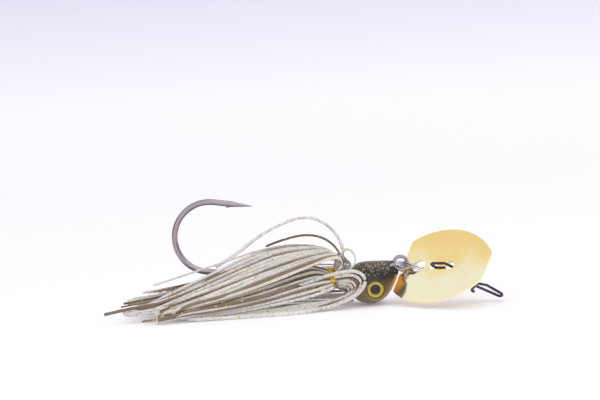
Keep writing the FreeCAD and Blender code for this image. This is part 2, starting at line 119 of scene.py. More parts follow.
# the sheet, in metres: half its width, where its floor starts and ends, its sweep and its wall
SHEET_HALF, NEAR_EDGE, FLOOR_END, SWEEP_R, WALL = 1.6, -0.9, 0.4, 0.7, 0.9
bm = bmesh.new()
floor_near = [bm.verts.new((x, NEAR_EDGE, 0)) for x in (-SHEET_HALF, SHEET_HALF)]
edge = bm.edges.new(floor_near)
bmesh.ops.extrude_edge_only(bm, edges=[edge])
bm.verts.ensure_lookup_table()
bmesh.ops.translate(bm, verts=bm.verts[2:], vec=(0, FLOOR_END - NEAR_EDGE, 0))
far_edge = [e for e in bm.edges if all(v.co.y > 0 for v in e.verts)]
spun = bmesh.ops.spin(bm, geom=far_edge, cent=(0, FLOOR_END, SWEEP_R), axis=(1, 0, 0),
                      angle=math.pi / 2, steps=24, use_merge=False)
top_edge = [g for g in spun["geom_last"] if isinstance(g, bmesh.types.BMEdge)]
lifted = bmesh.ops.extrude_edge_only(bm, edges=top_edge)
bmesh.ops.translate(bm, verts=[g for g in lifted["geom"] if isinstance(g, bmesh.types.BMVert)],
                    vec=(0, 0, WALL))
studio = finish_mesh("studio_sweep", bm, paper, 0.0001)

AIR_COLOUR, AIR_LIGHT = (0.985, 0.98, 1.0, 1.0), 0.88
world = bpy.data.worlds.new("studio_air")
bpy.context.scene.world = world
world.use_nodes = True
world.node_tree.nodes["Background"].inputs["Color"].default_value = AIR_COLOUR
world.node_tree.nodes["Background"].inputs["Strength"].default_value = AIR_LIGHT


def soft_lamp(name, place, aim, size, watts):
    lamp = bpy.data.lights.new(name, "AREA")
    lamp.shape = "RECTANGLE"
    lamp.size, lamp.size_y = size
    lamp.energy = watts
    rig = bpy.data.objects.new(name, lamp)
    rig.location = place
    rig.rotation_euler = (Vector(aim) - Vector(place)).to_track_quat("-Z", "Y").to_euler()
    bpy.context.scene.collection.objects.link(rig)


soft_lamp("lamp_overhead", (0.4, -0.15, 0.9), (0, 0, 0), (1.0, 1.0), 2.3)
soft_lamp("lamp_front", (-0.2, -0.95, 0.5), (0, 0, 0.01), (1.2, 0.7), 1.4)

# Dark cards: two squares of felt that stand out of sight, one on each side of the lure, so that
# bright metal shows a dark line by its edges.
def object_noise(nodes, links, scale, detail=2.0, roughness=0.5):
    coords = nodes.new("ShaderNodeTexCoord")
    noise = nodes.new("ShaderNodeTexNoise")
    noise.inputs["Scale"].default_value = scale
    noise.inputs["Detail"].default_value = detail
    noise.inputs["Roughness"].default_value = roughness
    links.new(coords.outputs["Object"], noise.inputs["Vector"])
    return noise.outputs["Fac"]


felt, nodes, links, shader = new_material("dark_felt")
links.new(ramp(nodes, links, object_noise(nodes, links, 30.0), [(0.3, (0.06,) * 3), (0.7, (0.10,) * 3)]),
          shader.inputs["Base Color"])
shader.inputs["Roughness"].default_value = 0.95
CARD_HALF, CARD_OUT, CARD_HEIGHT = 0.16, 0.62, 0.17
for side, out in (("left", -1), ("right", 1)):
    bm = bmesh.new()
    on_edge = Matrix.Translation((out * CARD_OUT, -0.05, CARD_HEIGHT)) @ Matrix.Rotation(math.pi / 2, 4, "Y")
    bmesh.ops.create_grid(bm, x_segments=1, y_segments=1, size=CARD_HALF, matrix=on_edge)
    finish_mesh("dark_card_" + side, bm, felt, 0)

# Camera: an 85 mm lens close to the table's level, turned a little about its own axis so that
# the table runs up towards the nose.  From here on lengths are in millimetres from the lure's own
# reference, which is found from the ring's hinge in the hook's eye.
hinge = next(j for j in frame["joints"] if j["name"] == "ring_lift")
HINGE = Vector((26.3014, 0.0010, 10.5507))
origin = Vector(hinge["pos_m"]) - HINGE * 0.001


def at(x, y, z):
    """A place on the lure, in metres in the frame."""
    return origin + Vector((x, y, z)) * 0.001


LENS, SENSOR = 85.0, 36.0
DISTANCE, ELEVATION, ROLL = 382.5, math.radians(5.0), math.radians(3.0)
LOOK_AT = (0.0, 0.0, 29.1)
back = Vector((0, -math.cos(ELEVATION), math.sin(ELEVATION)))
right = Vector((1, 0, 0))
up = back.cross(right)
image_right = right * math.cos(ROLL) - up * math.sin(ROLL)
image_up = right * math.sin(ROLL) + up * math.cos(ROLL)
camera_data = bpy.data.cameras.new("camera")
camera_data.lens, camera_data.sensor_width = LENS, SENSOR
camera_data.clip_start = 0.01
camera = bpy.data.objects.new("camera", camera_data)
turn = Matrix((image_right, image_up, back)).transposed().to_4x4()
camera.matrix_world = Matrix.Translation(at(*LOOK_AT) + back * DISTANCE * 0.001) @ turn
bpy.context.scene.collection.objects.link(camera)
bpy.context.scene.camera = camera
bpy.context.scene.view_settings.view_transform = "Standard"

# Hook: forged high-carbon wire under a polished black nickel plate.  The plate is even, with a
# faint violet cast and very fine drawing marks along the wire.
def bump(nodes, links, height, strength, distance):
    node = nodes.new("ShaderNodeBump")
    node.inputs["Strength"].default_value = strength
    node.inputs["Distance"].default_value = distance
    links.new(height, node.inputs["Height"])
    return node.outputs["Normal"]


plate, nodes, links, shader = new_material("black_nickel")
shader.inputs["Metallic"].default_value = 1.0
cast = object_noise(nodes, links, 90.0, 3.0)
links.new(ramp(nodes, links, cast, [(0.3, srgb(150, 142, 146)), (0.7, srgb(172, 163, 167))]),
          shader.inputs["Base Color"])
grain = object_noise(nodes, links, 2600.0, 4.0, 0.7)
links.new(ramp(nodes, links, grain, [(0.3, (0.16,) * 3), (0.8, (0.3,) * 3)]), shader.inputs["Roughness"])
links.new(bump(nodes, links, grain, 0.12, 0.00003), shader.inputs["Normal"])


def dress(node_name, material):
    """Gives a CAD node its finish."""
    mesh = frame["nodes"][node_name].data
    for i in range(max(1, len(mesh.materials))):
        if i < len(mesh.materials):
            mesh.materials[i] = material
        else:
            mesh.materials.append(material)


dress("hook", plate)

# Cast head: a lead casting with a baked brown and olive paint, gold flakes in the lacquer over
# its back, and a thick clear top coat.
def mix_colour(nodes, links, factor, a, b):
    """Colour a where factor is 0 and b where it is 1; each may be a colour or a socket."""
    node = nodes.new("ShaderNodeMix")
    node.data_type = "RGBA"
    links.new(factor, node.inputs["Factor"])
    for socket, value in ((node.inputs[6], a), (node.inputs[7], b)):
        if isinstance(value, tuple):
            socket.default_value = (*value, 1.0)
        else:
            links.new(value, socket)
    return node.outputs[2]


paint, nodes, links, shader = new_material("head_lacquer")
coords = nodes.new("ShaderNodeTexCoord")
shift = nodes.new("ShaderNodeMapping")
shift.inputs["Location"].default_value = tuple(-v * 1000 for v in origin)
shift.inputs["Scale"].default_value = (1000, 1000, 1000)
links.new(coords.outputs["Object"], shift.inputs["Vector"])
split = nodes.new("ShaderNodeSeparateXYZ")
links.new(shift.outputs[0], split.inputs[0])
mottle = nodes.new("ShaderNodeTexNoise")
mottle.inputs["Scale"].default_value = 0.55
mottle.inputs["Detail"].default_value = 4.0
links.new(shift.outputs[0], mottle.inputs["Vector"])
# the paint's bands run up the head, and their edges waver; the greyer band at the very top is a painted sheen
PAINT_HEIGHT, WAVER = 13.0, 2.4
height = math_node(nodes, links, "ADD", split.outputs["Z"],
                   math_node(nodes, links, "MULTIPLY", mottle.outputs["Fac"], WAVER))
height = math_node(nodes, links, "MULTIPLY", height, 1 / PAINT_HEIGHT)
base = ramp(nodes, links, height, [
    (0.0, srgb(150, 142, 130)), (0.2, srgb(140, 128, 96)), (0.40, srgb(118, 92, 44)),
    (0.56, srgb(84, 56, 20)), (0.66, srgb(26, 20, 14)), (0.84, srgb(18, 15, 13)), (0.96, srgb(40, 34, 34))])
# painted light: the nose's forward-facing surfaces below the black back are painted a bright orange, standing
# in for the light on the nose that the blade mirrors
NOSE_FACING, NOSE_LIGHT_TOP = 0.66, 9.4
facing = nodes.new("ShaderNodeSeparateXYZ")
links.new(coords.outputs["Normal"], facing.inputs[0])
nose = math_node(nodes, links, "SUBTRACT", facing.outputs["X"], NOSE_FACING)
nose = math_node(nodes, links, "MULTIPLY", nose, 4.0, clamp=True)
below = math_node(nodes, links, "SUBTRACT", NOSE_LIGHT_TOP, split.outputs["Z"])
below = math_node(nodes, links, "MULTIPLY", below, 0.6, clamp=True)
nose_painted_light = math_node(nodes, links, "MULTIPLY", nose, below)
base = mix_colour(nodes, links, nose_painted_light, base, srgb(238, 158, 56))
flakes = nodes.new("ShaderNodeTexVoronoi")
flakes.inputs["Scale"].default_value = 4.4
links.new(shift.outputs[0], flakes.inputs["Vector"])
fleck = math_node(nodes, links, "LESS_THAN", flakes.outputs["Distance"], 0.36)
pick = nodes.new("ShaderNodeSeparateColor")
links.new(flakes.outputs["Color"], pick.inputs[0])
# the flecks thin out down the flank and towards the nose
FLECKS_LOW, FLECKS_FRONT = 7.2, 25.5
lift = math_node(nodes, links, "SUBTRACT", split.outputs["Z"], FLECKS_LOW)
lift = math_node(nodes, links, "MULTIPLY", lift, 0.19)
aft = math_node(nodes, links, "SUBTRACT", FLECKS_FRONT, split.outputs["X"])
aft = math_node(nodes, links, "MULTIPLY", aft, 0.13)
share = math_node(nodes, links, "MULTIPLY", lift, math_node(nodes, links, "MINIMUM", aft, 1.0), clamp=True)
few = math_node(nodes, links, "LESS_THAN", pick.outputs["Red"], share)
fleck = math_node(nodes, links, "MULTIPLY", fleck, few)
gold = ramp(nodes, links, pick.outputs["Green"], [(0.0, srgb(220, 186, 104)), (1.0, srgb(250, 236, 170))])
links.new(mix_colour(nodes, links, fleck, base, gold), shader.inputs["Base Color"])
links.new(math_node(nodes, links, "MULTIPLY", fleck, 0.8), shader.inputs["Metallic"])
shader.inputs["Roughness"].default_value = 0.35
shader.inputs["Specular IOR Level"].default_value = 0.25
shader.inputs["Coat Weight"].default_value = 0.6
shader.inputs["Coat Roughness"].default_value = 0.06
orange_peel = nodes.new("ShaderNodeTexNoise")
orange_peel.inputs["Scale"].default_value = 0.9
links.new(shift.outputs[0], orange_peel.inputs["Vector"])
ripple = bump(nodes, links, orange_peel.outputs["Fac"], 0.3, 0.00015)
links.new(ripple, shader.inputs["Coat Normal"])
dress("cast_head", paint)

# Eyes: printed foil discs, a yellow iris with a black pupil, one glued on each side of the head
# under a clear cast resin dome.
EYE_X, EYE_Z = 19.0, 4.25
foil, nodes, links, shader = new_material("eye_foil")
coords = nodes.new("ShaderNodeTexCoord")
centre = nodes.new("ShaderNodeMapping")
eye_centre = at(EYE_X, 0, EYE_Z)
centre.inputs["Location"].default_value = (-eye_centre.x * 1000, 0, -eye_centre.z * 1000)
centre.inputs["Scale"].default_value = (1000, 0, 1000)
links.new(coords.outputs["Object"], centre.inputs["Vector"])
radius = nodes.new("ShaderNodeVectorMath")
radius.operation = "LENGTH"
links.new(centre.outputs[0], radius.inputs[0])
rays = nodes.new("ShaderNodeTexNoise")
rays.inputs["Scale"].default_value = 3.0
rays.inputs["Detail"].default_value = 3.0
links.new(centre.outputs[0], rays.inputs["Vector"])
spread = math_node(nodes, links, "MULTIPLY_ADD", rays.outputs["Fac"], 0.16)
spread.node.inputs[2].default_value = -0.08
# 1.0 on the ramp is 2.5 mm from the pupil's centre
reach = math_node(nodes, links, "ADD", radius.outputs["Value"], spread)
reach = math_node(nodes, links, "MULTIPLY", reach, 0.4)
iris = ramp(nodes, links, reach, [
    (0.0, srgb(24, 20, 34)), (0.49, srgb(30, 25, 38)), (0.54, srgb(128, 106, 24)),
    (0.59, srgb(226, 196, 36)), (0.84, srgb(238, 216, 58)), (0.91, srgb(150, 136, 48)),
    (0.97, srgb(66, 58, 44))])
links.new(iris, shader.inputs["Base Color"])
shader.inputs["Roughness"].default_value = 0.45
shader.inputs["Specular IOR Level"].default_value = 0.1
dome, nodes, links, shader = new_material("clear_resin")
gloss = nodes.new("ShaderNodeFresnel")
gloss.inputs["IOR"].default_value = 1.5
haze = object_noise(nodes, links, 700.0)
links.new(ramp(nodes, links, haze, [(0.3, (0.02,) * 3), (0.8, (0.06,) * 3)]), shader.inputs["Roughness"])
shader.inputs["Base Color"].default_value = (0.97, 0.97, 1.0, 1.0)
shader.inputs["Metallic"].default_value = 1.0
links.new(math_node(nodes, links, "MULTIPLY", gloss.outputs[0], 0.5), shader.inputs["Alpha"])
FOIL_FACE, LENS_R, LENS_WALL, LENS_RISE = 3.93, 2.40, 0.28, 1.12
CAP = LENS_RISE - LENS_WALL
BALL_R = (LENS_R ** 2 + CAP ** 2) / (2 * CAP)
LENS_RINGS = 8
for side, out in (("left", 1), ("right", -1)):
    dress("eye_foil_" + side, foil)
    bm = bmesh.new()
    half_cap = math.asin(LENS_R / BALL_R)
    profile = [bm.verts.new((0, 0, 0)), bm.verts.new((LENS_R, 0, 0))]
    for i in range(LENS_RINGS + 1):
        a = half_cap * (1 - i / LENS_RINGS)
        height = LENS_RISE - BALL_R + BALL_R * math.cos(a)
        profile.append(bm.verts.new((BALL_R * math.sin(a), 0, height)))
    for low, high in zip(profile, profile[1:]):
        bm.edges.new((low, high))
    bmesh.ops.spin(bm, geom=bm.verts[:] + bm.edges[:], cent=(0, 0, 0), axis=(0, 0, 1), angle=math.tau,
                   steps=48, use_merge=True)
    # from the lens's own axis to its seat on the head's side
    seat = Matrix.Translation(at(EYE_X, out * FOIL_FACE, EYE_Z)) @ Matrix.Rotation(-out * math.pi / 2, 4, "X")
    bmesh.ops.transform(bm, verts=bm.verts, matrix=seat @ Matrix.Scale(0.001, 4))
    lens = finish_mesh("eye_lens_" + side, bm, dome)
    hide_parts("eye_dome_" + side)
    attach(lens, "jig")

# Split ring: two coils of one flattened stainless wire with rounded edges, polished all over and
# threaded through the hook's eye and the blade's ring hole.
def sweep(bm, frames, corners):
    """Extrudes a rounded section through frames, each a matrix whose x and y span the section."""
    disc = bmesh.ops.create_circle(bm, cap_ends=True, segments=corners, radius=1.0, matrix=frames[0])
    cap = disc["verts"][0].link_faces[0]
    for before, after in zip(frames, frames[1:]):
        out = bmesh.ops.extrude_face_region(bm, geom=[cap])["geom"]
        verts = [g for g in out if isinstance(g, bmesh.types.BMVert)]
        cap = next(g for g in out if isinstance(g, bmesh.types.BMFace))
        bmesh.ops.transform(bm, verts=verts, matrix=after @ before.inverted())


def frame_at(place, wide, thick, half_width, half_thickness):
    """A section's matrix: x along its width, y through its thickness, z along the run."""
    run = wide.cross(thick).normalized()
    columns = (wide.normalized() * half_width, thick.normalized() * half_thickness, run * 0.001)
    turn = Matrix(columns).transposed().to_4x4()
    return Matrix.Translation(place) @ turn


steel, nodes, links, shader = new_material("ring_steel")
shader.inputs["Metallic"].default_value = 1.0
tone = object_noise(nodes, links, 260.0, 3.0)
links.new(ramp(nodes, links, tone, [(0.3, srgb(206, 203, 206)), (0.7, srgb(244, 242, 246))]),
          shader.inputs["Base Color"])
marks = object_noise(nodes, links, 3200.0, 3.0, 0.7)
links.new(ramp(nodes, links, marks, [(0.3, (0.06,) * 3), (0.8, (0.14,) * 3)]), shader.inputs["Roughness"])
links.new(bump(nodes, links, marks, 0.04, 0.00002), shader.inputs["Normal"])
RING_CENTRE, RING_R = Vector((29.67, 2.46, 8.54)), 4.63
RING_AXIS = Vector((0.3512, 0.2554, 0.9008)).normalized()
COIL_STEP, WIRE_HALF_W, WIRE_HALF_T = 0.63, 0.32, 0.32
towards_eye = HINGE - RING_CENTRE
towards_eye = (towards_eye - RING_AXIS * towards_eye.dot(RING_AXIS)).normalized()
# degrees round the ring: where the step lies, how long it is, and the whole run of the wire
STEP_AT, STEP_RUN, WHOLE_RUN = 215.0, 14.0, 701.0
COIL_SECTIONS = 280
bm = bmesh.new()
coil = []
for i in range(COIL_SECTIONS + 1):
    run = WHOLE_RUN * i / COIL_SECTIONS
    # one coil, the short step over, then the other coil
    blend = min(1.0, max(0.0, (run - (WHOLE_RUN - STEP_RUN) / 2) / STEP_RUN))
    rise = (blend * blend * (3 - 2 * blend) - 0.5) * COIL_STEP
    turned = math.radians(STEP_AT + STEP_RUN / 2 + run - WHOLE_RUN / 2)
    out = Matrix.Rotation(turned, 3, RING_AXIS) @ towards_eye
    place = RING_CENTRE + out * RING_R + RING_AXIS * rise
    coil.append(frame_at(at(*place), RING_AXIS, out, WIRE_HALF_T * 0.001, WIRE_HALF_W * 0.001))
sweep(bm, coil, 10)
ring = finish_mesh("split_ring_coils", bm, steel, 0)
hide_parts("split_ring")
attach(ring, "ring")

# Hex blade: a stamped brass plate, gold plated and polished, lightly rippled by the press and
# finely scratched along its length.
gold_plate, nodes, links, shader = new_material("gold_plate")
shader.inputs["Metallic"].default_value = 1.0
coords = nodes.new("ShaderNodeTexCoord")
split = nodes.new("ShaderNodeSeparateXYZ")
links.new(coords.outputs["Object"], split.inputs[0])
tone_and_painted_reflection = math_node(nodes, links, "MULTIPLY", object_noise(nodes, links, 110.0, 4.0), 0.9)
# painted reflection: the plate is painted paler towards its low edge, standing in for the bright floor it
# mirrors; from this height down, in metres
PAINTED_REFLECTION_BELOW, PAINTED_REFLECTION_PER_METRE = 0.017, 52.0
down = math_node(nodes, links, "SUBTRACT", PAINTED_REFLECTION_BELOW, split.outputs["Z"])
down = math_node(nodes, links, "MULTIPLY", down, PAINTED_REFLECTION_PER_METRE)
tone_and_painted_reflection = math_node(nodes, links, "ADD", tone_and_painted_reflection, down)
links.new(ramp(nodes, links, tone_and_painted_reflection, [(0.30, srgb(252, 214, 142)), (0.62, srgb(255, 228, 154)),
                                    (1.0, srgb(255, 250, 214))]), shader.inputs["Base Color"])
ripples = object_noise(nodes, links, 130.0, 3.0)
scratches = object_noise(nodes, links, 1800.0, 5.0, 0.75)
links.new(ramp(nodes, links, scratches, [(0.3, (0.05,) * 3), (0.8, (0.17,) * 3)]),
          shader.inputs["Roughness"])
relief = math_node(nodes, links, "ADD", ripples, math_node(nodes, links, "MULTIPLY", scratches, 0.05))
links.new(bump(nodes, links, relief, 0.55, 0.00025), shader.inputs["Normal"])
dress("hex_blade", gold_plate)

# Line snap: one spring wire under black nickel plate, bent to a narrow end for the line and closed
# by its own latch after it is clipped through the blade's two holes.
spring, nodes, links, shader = new_material("snap_wire")
shader.inputs["Metallic"].default_value = 1.0
tone = object_noise(nodes, links, 200.0, 3.0)
links.new(ramp(nodes, links, tone, [(0.3, srgb(60, 58, 76)), (0.7, srgb(86, 84, 104))]),
          shader.inputs["Base Color"])
marks = object_noise(nodes, links, 3000.0, 3.0)
links.new(ramp(nodes, links, marks, [(0.3, (0.2,) * 3), (0.8, (0.34,) * 3)]), shader.inputs["Roughness"])
dress("line_snap", spring)

# Skirt tie: fine brass-coloured wire wound five turns round the strands, its ends twisted off.  It
# holds the skirt on the head's collar.
tie, nodes, links, shader = new_material("tie_wire")
shader.inputs["Metallic"].default_value = 1.0
tone = object_noise(nodes, links, 900.0, 3.0)
links.new(ramp(nodes, links, tone, [(0.3, srgb(206, 172, 40)), (0.7, srgb(255, 232, 110))]),
          shader.inputs["Base Color"])
links.new(ramp(nodes, links, tone, [(0.3, (0.15,) * 3), (0.7, (0.3,) * 3)]), shader.inputs["Roughness"])
dress("skirt_tie_wire", tie)

# Skirt: silicone ribbons tied at their middles, so that each runs back from the tie and also
# forwards, folding over the head's shoulder and back down the outside.  Clear pearl ribbons hold
# gold, tan and pale violet flakes; the others are brown or cream.
def silicone(name, body, shade, flake_share, transmission):
    """Rubbery ribbon: body colours from and to, share of flakes, how clear it is."""
    flakes_per_metre, flake_reach = 1900.0, 0.42
    material, nodes, links, shader = new_material(name)
    coords = nodes.new("ShaderNodeTexCoord")
    cells = nodes.new("ShaderNodeTexVoronoi")
    cells.inputs["Scale"].default_value = flakes_per_metre
    links.new(coords.outputs["Object"], cells.inputs["Vector"])
    pick = nodes.new("ShaderNodeSeparateColor")
    links.new(cells.outputs["Color"], pick.inputs[0])
    near = math_node(nodes, links, "LESS_THAN", cells.outputs["Distance"], flake_reach)
    chosen = math_node(nodes, links, "LESS_THAN", pick.outputs["Red"], flake_share)
    mask = math_node(nodes, links, "MULTIPLY", near, chosen)
    flake_colour = ramp(nodes, links, pick.outputs["Green"], [
        (0.0, srgb(246, 222, 150)), (0.26, srgb(238, 204, 156)), (0.44, srgb(255, 244, 184)),
        (0.6, srgb(218, 194, 150)), (0.80, srgb(224, 226, 248)), (0.92, srgb(188, 164, 122))], "CONSTANT")
    own = nodes.new("ShaderNodeAttribute")
    own.attribute_name = "ribbon_tone"
    clouds = object_noise(nodes, links, 240.0, 3.0)
    blend = math_node(nodes, links, "ADD", math_node(nodes, links, "MULTIPLY", own.outputs["Fac"], 0.7),
                      math_node(nodes, links, "MULTIPLY", clouds, 0.4), clamp=True)
    tone = ramp(nodes, links, blend, [(0.1, body), (0.9, shade)])
    links.new(mix_colour(nodes, links, mask, tone, flake_colour), shader.inputs["Base Color"])
    links.new(math_node(nodes, links, "MULTIPLY", mask, 0.3), shader.inputs["Metallic"])
    shader.inputs["Roughness"].default_value = 0.32
    shader.inputs["IOR"].default_value = 1.41
    shader.inputs["Transmission Weight"].default_value = transmission
    shader.inputs["Subsurface Weight"].default_value = 0.35
    shader.inputs["Subsurface Radius"].default_value = (1.0, 0.95, 0.85)
    shader.inputs["Subsurface Scale"].default_value = 0.0012
    return material


SILICONE = {
    "pearl": silicone("silicone_pearl", srgb(255, 255, 255), srgb(252, 247, 238), 0.46, 0.15),
    "clear": silicone("silicone_clear", srgb(255, 255, 255), srgb(252, 247, 238), 0.46, 0.70),
    "brown": silicone("silicone_brown", srgb(104, 86, 70), srgb(158, 136, 114), 0.06, 0.05),
    "cream": silicone("silicone_cream", srgb(255, 250, 238), srgb(248, 234, 210), 0.24, 0.12),
}
STRANDS_PER_LAYER = 14
RIBBONS_PER_STRAND = 2
RIBBON_HALF_WIDTH, RIBBON_HALF_THICKNESS = 0.46, 0.15
BROWN_SLIM, RAISED_BROWN_SLIM = 0.62, 0.85
# stations of the bundle's outline, for the front halves and for the rear halves of the strands: x
# at the top, sides and underside, middle z, half width, reach up, reach down
FRONT = [
    (10.0, 11.3, 11.1, 6.7, 4.0, 3.9, 3.6), (11.0, 12.9, 11.4, 6.6, 5.7, 5.0, 4.8),
    (11.4, 16.4, 13.2, 6.5, 6.7, 6.1, 5.5), (10.4, 15.3, 12.2, 6.6, 7.9, 7.2, 6.2),
    (3.5, 7.0, 6.0, 7.0, 8.9, 8.9, 6.5), (-5.0, -4.0, -4.0, 6.6, 10.6, 8.9, 6.1),
    (-16.0, -16.0, -16.0, 4.9, 12.6, 8.3, 4.5), (-29.0, -29.0, -29.0, 3.0, 14.6, 5.2, 2.6),
    (-41.0, -41.0, -41.0, 2.5, 15.8, 3.2, 2.15)]
REAR = [
    (-1.0, -1.0, -1.0, 7.6, 4.7, 4.9, 3.6), (-13.0, -13.0, -13.0, 5.6, 7.7, 5.8, 3.4),
    (-28.0, -28.0, -28.0, 3.5, 10.6, 3.2, 2.1), (-47.0, -47.0, -47.0, 2.3, 12.4, 1.6, 1.4)]
# two strands arch high over the rest
HIGH_ARCH = [(-24.0, 3.6, 11.6), (-18.4, 3.6, 14.6), (-12.7, 3.5, 18.9), (-7.2, 3.4, 21.9),
             (-0.3, 3.2, 24.3), (5.1, 3.0, 23.3), (9.2, 2.7, 19.6), (11.0, 2.3, 15.4)]
LOW_ARCH = [(-9.8, -3.4, 17.4), (-5.4, -3.3, 18.9), (0.6, -3.1, 20.1), (5.6, -2.8, 19.1),
            (9.2, -2.4, 16.0)]
TIE_X, TIE_REACH = 7.3, 1.4
# how far the ribbons of the inner and of the outer layer lie from the shank under the tie
KNOT_R = (1.62, 2.28)
# the hook's bend, from which the shank slopes down to the head
BEND_X, BEND_Z, BEND_R, SHANK_TILT = -24.9, 20.35, 9.5, math.radians(6.3)
# no ribbon's middle lies lower than this: behind the tie, and in the near side's outer ribbons
LOWEST_REAR, LOWEST_NEAR = 0.22, 0.3
# how much each station of FRONT gives way to the gap on the near side
GIVING_WAY = (0.6, 1.0, 1.0, 1.0, 0.7, 0.3, 0.0, 0.0, 0.0)


def shank_z(x):
    """Height of the shank's middle."""
    return BEND_Z - BEND_R / math.cos(SHANK_TILT) - math.tan(SHANK_TILT) * (x - BEND_X)


def shell(station, angle, inset):
    """A place on one station's outline; angle runs from the top round by the near side."""
    x_top, x_side, x_low, middle, half_w, up, down = station
    c, s = math.cos(angle), math.sin(angle)
    x = x_side + (x_top - x_side) * max(0.0, c) + (x_low - x_side) * max(0.0, -c)
    reach = (up if c > 0 else down) - 0.8 * inset
    return Vector((x, -(half_w - inset) * s, max(LOWEST_REAR, middle + reach * c)))


def corner_cut(points, rounds):
    """Smooths a run of points by cutting its corners."""
    for _ in range(rounds):
        cut = [points[0]]
        for a, b in zip(points, points[1:]):
            cut += [a.lerp(b, 0.25), a.lerp(b, 0.75)]
        cut[1:2] = []
        cut[-1] = points[-1]
        points = cut
    return points


def ribbon(bm, points, across, twist, half_width):
    """One ribbon through points, as wide as it can be along across, twisting gently as it runs."""
    half_waves = 1.7
    path = corner_cut(points, 3)
    frames = []
    last = len(path) - 1
    for i, place in enumerate(path):
        run = (path[min(i + 1, last)] - path[max(i - 1, 0)]).normalized()
        wide = (across - run * across.dot(run)).normalized()
        wide = Matrix.Rotation(twist * math.sin(i / last * math.pi * half_waves), 3, run) @ wide
        thick = run.cross(wide)
        frames.append(frame_at(at(*place), wide, thick, half_width * 0.001, RIBBON_HALF_THICKNESS * 0.001))
    sweep(bm, frames, 8)


# where the gap on the near side is, how wide it is and how far it pushes ribbons aside, in radians
PARTING_AT, PARTING_WIDTH, PARTING = 1.05, 0.55, 0.42


def parted(angle, amount):
    """Moves an angle away from the gap on the near side where the tie wire shows."""
    turn = angle % math.tau
    if turn > math.pi:
        return angle
    from_gap = turn - PARTING_AT
    push = math.exp(-(from_gap / PARTING_WIDTH) ** 2)
    return angle + amount * PARTING * math.copysign(push, from_gap)


def strand_points(index, layer, offset, dice):
    """Control points of one ribbon and the angle it lies at."""
    step = math.tau / STRANDS_PER_LAYER
    angle = (index + 0.5 + offset) * step
    # the front halves of the two layers lie side by side, and no two ribbons end at one place
    front_angle = angle + (0.25 if layer else -0.25) * step + dice.uniform(-0.05, 0.05)
    stagger = math.sin(index * 2.4 + layer * 1.7)
    sink = dice.uniform(0.0, 0.7)
    drift = dice.uniform(-0.34, 0.34)
    front = []
    for i, f in enumerate(FRONT):
        turned = parted(front_angle, GIVING_WAY[i]) + drift * max(0, i - 2) / 6
        front.append(shell(f, turned, sink if i > 2 else 0.0))
    front.reverse()
    if not layer:
        front[-1] = shell(FRONT[0], front_angle, 0.6)
    front[0].x += 3.0 * stagger + dice.uniform(-3.5, 6.0)
    if layer and index in (0, STRANDS_PER_LAYER - 1):
        front = [Vector(place) for place in (HIGH_ARCH if index else LOW_ARCH)] + front[-2:]
    knot_r = KNOT_R[layer]
    knot = [Vector((x, -knot_r * math.sin(angle), shank_z(x) + knot_r * math.cos(angle)))
            for x in (TIE_X + TIE_REACH, TIE_X - TIE_REACH)]
    inset = (0.0 if layer else 0.9) + sink * 0.5
    sway = dice.uniform(-0.3, 0.3)
    rear = [shell(f, angle + sway * i / 3, inset) for i, f in enumerate(REAR)]
    rear[-1].x += -3.5 * stagger + dice.uniform(-1.0, 6.0)
    return front + knot + rear, angle


# The near side's outer ribbons lie in three falls: over the top, straight back, and looped forward
# over the head's cheek.  Each fall has the routes of its outermost and its innermost ribbon, as x, y
# and z at like places along them, and its other ribbons lie in between.
OVER_TOP = (
    [(8.6, -2.0, 9.0), (10.8, -3.0, 11.5), (9.5, -4.2, 14.0), (2.5, -7.0, 12.5), (-5.0, -9.6, 10.0),
     (-12.0, -11.2, 8.0), (-20.0, -12.8, 5.7), (-30.0, -14.2, 3.7), (-40.0, -15.0, 2.3)],
    [(8.2, 0.5, 9.5), (9.2, 0.4, 13.5), (5.5, -0.2, 16.0), (-1.0, -1.0, 17.0), (-8.0, -2.0, 16.8),
     (-15.0, -3.0, 14.5), (-24.0, -4.8, 11.0), (-34.0, -6.5, 7.0), (-43.0, -8.0, 3.5)])
STRAIGHT_BACK = (
    [(6.0, -2.5, 9.0), (3.0, -3.2, 10.5), (-1.0, -4.6, 10.0), (-7.0, -6.6, 8.2), (-14.0, -8.6, 6.4),
     (-22.0, -10.6, 4.8), (-31.0, -12.4, 3.2), (-42.0, -14.0, 2.0)],
    [(8.0, -5.0, 5.6), (5.0, -6.6, 4.6), (-1.0, -8.2, 3.4), (-9.0, -10.2, 2.4), (-17.0, -11.8, 1.7),
     (-26.0, -13.2, 1.1), (-35.0, -14.2, 0.8), (-43.0, -14.8, 0.7)])
LOOPED = (
    [(8.0, -4.3, 9.0), (10.0, -4.6, 9.5), (14.0, -6.0, 10.0), (16.5, -7.0, 8.0), (15.6, -7.2, 5.0),
     (12.0, -7.6, 2.5), (7.0, -8.5, 1.0), (1.0, -9.6, 0.4), (-6.0, -11.0, 0.3), (-15.0, -12.0, 0.3)],
    [(8.8, -2.0, 5.5), (10.0, -3.4, 5.6), (11.4, -4.4, 5.4), (12.0, -5.0, 4.4), (11.4, -5.3, 3.2),
     (9.0, -5.8, 2.3), (5.0, -6.8, 1.7), (-1.0, -8.0, 1.2), (-10.0, -9.6, 0.8), (-24.0, -11.8, 0.5)])
